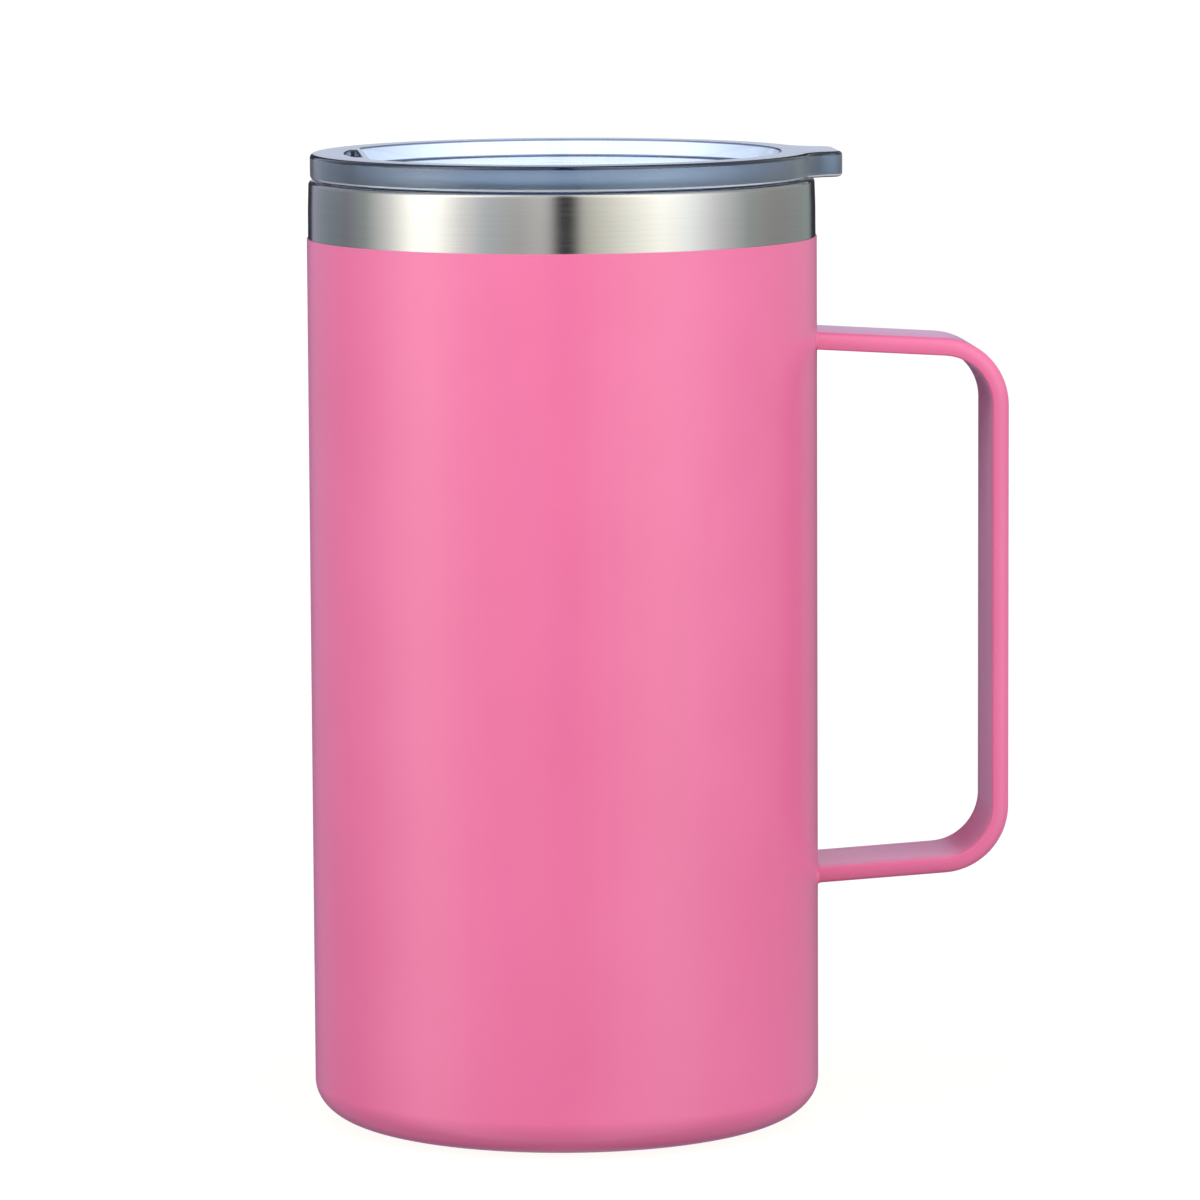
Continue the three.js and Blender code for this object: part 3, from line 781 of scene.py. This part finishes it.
def make_lid():
    lid = Skin()
    flange = flange_outline()
    pocket = cut_circle(RECESS_RADIUS, RIB_INNER, 0.9 * MM, True, 150)
    slot = cut_circle(SLOT_RADIUS, RIB_OUTER, 0.5 * MM, False, 40)
    vent = outline_arc(VENT_X, 0, VENT_RADIUS, 0, 350, 35)
    bore = outline_arc(0, 0, PLUG_INNER, 0, 360 - 360 / SIDES, SIDES - 1)
    plug = outline_arc(0, 0, PLUG_OUTER, 0, 360 - 360 / SIDES, SIDES - 1)

    bottom_edge, top_edge = lid.rings(flange, [
        *rounded(-FLANGE_ROUND, FLANGE_BOTTOM + FLANGE_ROUND, FLANGE_ROUND, -90, 0),
        *rounded(-FLANGE_ROUND, FLANGE_TOP - FLANGE_ROUND, FLANGE_ROUND, 0, 90),
    ])
    mouth_round = rounded(EDGE_ROUND, FLANGE_TOP - EDGE_ROUND, EDGE_ROUND, 90, 180)
    pocket_top, floor_edge = lid.rings(pocket, [
        *mouth_round,
        *rounded(-FLOOR_ROUND, RECESS_FLOOR + FLOOR_ROUND, FLOOR_ROUND, 0, -90),
    ])
    slot_top, slot_bottom = lid.rings(slot, [*mouth_round, (0, FLANGE_BOTTOM)])
    vent_top, vent_bottom = lid.rings(vent, [
        *rounded(EDGE_ROUND, RECESS_FLOOR - EDGE_ROUND, EDGE_ROUND, 90, 180),
        (0, FLANGE_BOTTOM),
    ])
    keeper = KEEPER_RADIUS - PLUG_OUTER
    keeper_top = PLUG_BOTTOM + KEEPER_HEIGHT
    inner_low, plug_top = lid.rings(plug, [
        (PLUG_INNER - PLUG_OUTER + EDGE_ROUND, PLUG_BOTTOM),
        (keeper - FLOOR_ROUND, PLUG_BOTTOM),
        *rounded(keeper - FLOOR_ROUND, PLUG_BOTTOM + FLOOR_ROUND, FLOOR_ROUND, -90, 0)[1:],
        (keeper, keeper_top - EDGE_ROUND),
        *rounded(keeper - EDGE_ROUND, keeper_top - EDGE_ROUND, EDGE_ROUND, 0, 90)[1:],
        (0, keeper_top),
        *rounded(FLOOR_ROUND, FLANGE_BOTTOM - FLOOR_ROUND, FLOOR_ROUND, 180, 90),
    ])
    bore_top, bore_low = lid.rings(bore, [
        *rounded(-FLOOR_ROUND, FLANGE_BOTTOM - FLOOR_ROUND, FLOOR_ROUND, 90, 0),
        *rounded(EDGE_ROUND, PLUG_BOTTOM + EDGE_ROUND, EDGE_ROUND, 180, 270),
    ])
    lid.wall(bore_low, inner_low)
    lid.cap(top_edge, [pocket_top, slot_top])
    lid.cap(floor_edge, [vent_top])
    lid.cap(bottom_edge, [plug_top], up=False)
    lid.cap(bore_top, [slot_bottom, vent_bottom], up=False)
    piece = mesh_object("clear_lid", lid.points, lid.walls, lid.caps, crease=40)
    ride(piece, "lid", "lid_body", CLEAR)


def make_gasket():
    """A silicone band with two soft fins that lean up against the mouth."""
    inner = 38.2 * MM
    outer = 38.8 * MM
    reach = GASKET_HIGH.x
    outline = [(inner, GASKET_LOW.z), (outer, GASKET_LOW.z)]
    for fin_z in (154.3 * MM, 157.0 * MM):
        tip = 0.2 * MM
        outline += [
            (outer, fin_z),
            *arc(reach - tip, fin_z + 0.9 * MM, tip, -60, 120, 6),
            (outer, fin_z + 0.75 * MM),
        ]
    outline += [(outer, GASKET_HIGH.z), (inner, GASKET_HIGH.z)]
    ride(turned("silicone_gasket", outline), "seal", "lid_gasket", SILICONE)


# ------------------------------------------------------- camera, floor and light

CAMERA_TURN = 4.8  # degrees that the view is turned from the handle's plane
CAMERA_TILT = 7.0  # degrees below level
CAMERA_ROLL = -0.315  # degrees about the line of sight
CAMERA_PLACE = (-92.1 * MM, -1169.7 * MM, 232.6 * MM)
CAMERA_LENS = 208.87
PALE = (1.0, 1.0, 0.968)  # colour of the floor and the backdrop


def make_camera():
    camera = bpy.data.objects.new("camera", bpy.data.cameras.new("camera"))
    camera.data.lens = CAMERA_LENS
    camera.data.sensor_width = 36
    camera.data.clip_end = 100
    camera.location = CAMERA_PLACE
    camera.rotation_euler = (radians(90 - CAMERA_TILT), 0, radians(-CAMERA_TURN))
    camera.rotation_euler.rotate_axis("Z", radians(CAMERA_ROLL))
    bpy.context.scene.collection.objects.link(camera)
    bpy.context.scene.camera = camera


def glowing_material(name, own_colour, colour, glow):
    """A matt sheet that gives off light of its own."""
    nodes = Nodes(name, Roughness=1.0, Specular_IOR_Level=0.0, Emission_Strength=glow)
    nodes.shader.inputs["Base Color"].default_value = (*own_colour, 1)
    nodes.shader.inputs["Emission Color"].default_value = (*colour, 1)
    return nodes.material


def make_floor():
    """A plain pale floor. It glows, so that it is as pale as the backdrop, and takes a
    little of the light in the room, so that a faint shade falls on it."""
    reach = 9
    corners = [(-reach, -reach, 0), (reach, -reach, 0), (reach, reach, 0), (-reach, reach, 0)]
    floor = mesh_object("floor", corners, [], [(0, 1, 2, 3)])
    floor.data.materials.append(glowing_material("floor", (0.12, 0.12, 0.12), PALE, 0.93))
    for rays in ("diffuse", "glossy", "transmission", "shadow"):
        setattr(floor, "visible_" + rays, False)


STUDIO_GLOW = 1.43
DARK = (0.03, 0.03, 0.04)
PANEL_BEHIND = (0.39, 0.43, 0.52)
STUDIO_BRIGHTEST = 2.0  # no colour in the list below is brighter
STUDIO_UNDERSIDE = 0.45  # how much of the light is left well below level
STUDIO_FADE = (-0.3, 0.05)  # heights of a unit direction that the light fades between

# Studio light round the horizon, as (degrees right of the camera, colour): a large soft
# box on each side, a narrow dark gap in front, dim sides and a dim panel behind.
STUDIO = [
    (-180, PANEL_BEHIND),
    (-176, PANEL_BEHIND),
    (-174, DARK),
    (-159, DARK),
    (-154, (0.35, 0.35, 0.45)),
    (-134, (0.25, 0.30, 0.35)),
    (-114, (0.25, 0.25, 0.30)),
    (-100, (0.35, 0.40, 0.40)),
    (-84, (0.95, 0.95, 0.95)),
    (-70, (1.80, 1.80, 1.70)),
    (-60, (1.80, 1.80, 1.70)),
    (-46, (1.00, 1.00, 1.00)),
    (-34, (0.60, 0.65, 0.70)),
    (-20, (0.55, 0.55, 0.55)),
    (-9, (0.70, 0.70, 0.70)),
    (-5, (0.60, 0.60, 0.60)),
    (-1, DARK),
    (5, DARK),
    (10, (0.65, 0.65, 0.60)),
    (24, (1.00, 1.00, 0.90)),
    (46, (1.60, 1.60, 1.50)),
    (58, (1.35, 1.40, 1.40)),
    (76, (0.80, 0.80, 0.85)),
    (94, (0.40, 0.45, 0.45)),
    (112, (0.35, 0.35, 0.35)),
    (152, (0.30, 0.35, 0.35)),
    (158, DARK),
    (174, DARK),
    (176, PANEL_BEHIND),
    (180, PANEL_BEHIND),
]


def make_world():
    """Soft studio light as a level band of brightness that changes round the object."""
    world = bpy.data.worlds.new("studio")
    bpy.context.scene.world = world
    world.use_nodes = True
    tree = world.node_tree
    tree.nodes.clear()
    new, link = tree.nodes.new, tree.links.new
    place = new("ShaderNodeTexCoord")
    turned_place = new("ShaderNodeVectorRotate")
    turned_place.rotation_type = "Z_AXIS"
    turned_place.inputs["Angle"].default_value = radians(CAMERA_TURN)
    link(place.outputs["Generated"], turned_place.inputs["Vector"])
    split = new("ShaderNodeSeparateXYZ")
    link(turned_place.outputs["Vector"], split.inputs["Vector"])
    ahead = new("ShaderNodeMath")
    ahead.operation = "MULTIPLY"
    ahead.inputs[1].default_value = -1
    link(split.outputs["Y"], ahead.inputs[0])
    azimuth = new("ShaderNodeMath")
    azimuth.operation = "ARCTAN2"
    link(split.outputs["X"], azimuth.inputs[0])
    link(ahead.outputs[0], azimuth.inputs[1])
    share = new("ShaderNodeMapRange")
    share.inputs["From Min"].default_value = -pi
    share.inputs["From Max"].default_value = pi
    link(azimuth.outputs[0], share.inputs["Value"])
    ramp = new("ShaderNodeValToRGB")
    stops = ramp.color_ramp.elements
    for i, (angle, colour) in enumerate(STUDIO):
        stop = stops[i] if i < 2 else stops.new(1.0)
        stop.position = (angle + 180) / 360
        stop.color = (*(c / STUDIO_BRIGHTEST for c in colour), 1)
    link(share.outputs["Result"], ramp.inputs["Fac"])
    height = new("ShaderNodeMapRange")
    height.inputs["From Min"].default_value = STUDIO_FADE[0]
    height.inputs["From Max"].default_value = STUDIO_FADE[1]
    height.inputs["To Min"].default_value = STUDIO_UNDERSIDE * STUDIO_BRIGHTEST * STUDIO_GLOW
    height.inputs["To Max"].default_value = STUDIO_BRIGHTEST * STUDIO_GLOW
    link(split.outputs["Z"], height.inputs["Value"])
    light = new("ShaderNodeBackground")
    link(ramp.outputs["Color"], light.inputs["Color"])
    link(height.outputs["Result"], light.inputs["Strength"])
    output = new("ShaderNodeOutputWorld")
    link(light.outputs["Background"], output.inputs["Surface"])


def make_dome(name, radius, colour, glow, seen_by):
    """A plain dome round everything that only one kind of ray sees."""
    outline = [(radius * cos(radians(a)), radius * sin(radians(a))) for a in range(-80, 81, 10)]
    dome = turned(name, [(0, -radius), *outline, (0, radius)], 48)
    dome.data.materials.append(glowing_material(name, (0, 0, 0), colour, glow))
    for rays in ("camera", "diffuse", "glossy", "transmission", "volume_scatter", "shadow"):
        setattr(dome, "visible_" + rays, rays == seen_by)


def make_light(name, place, aim, size, power):
    lamp = bpy.data.lights.new(name, "AREA")
    lamp.shape = "RECTANGLE"
    lamp.size, lamp.size_y = size
    lamp.energy = power
    light = bpy.data.objects.new(name, lamp)
    light.location = place
    light.rotation_euler = (Vector(aim) - Vector(place)).to_track_quat("-Z", "Y").to_euler()
    light.visible_glossy = False
    light.visible_camera = False
    bpy.context.scene.collection.objects.link(light)


make_coat()
make_shell()
make_cup()
make_rim_weld()
make_foil()
make_base()
make_base_cap()
make_getter()
make_handle()
make_weld("upper_weld_fillet", "upper_handle_weld", UPPER_ARM)
make_weld("lower_weld_fillet", "lower_handle_weld", LOWER_ARM)
make_lid()
make_gasket()

make_camera()
make_floor()
make_dome("backdrop", 12, PALE, 1.0, "camera")
make_dome("light_behind_clear", 11, (1.0, 0.97, 0.91), 9.4, "transmission")
make_world()
make_light("overhead", (-0.1, -0.45, 0.75), (0, 0, 0.1), (0.7, 0.5), 2.2)
make_light("right_side", (0.9, 0.1, 0.25), (0, 0, 0.1), (0.5, 0.8), 1.2)
bpy.context.scene.view_settings.view_transform = "Standard"
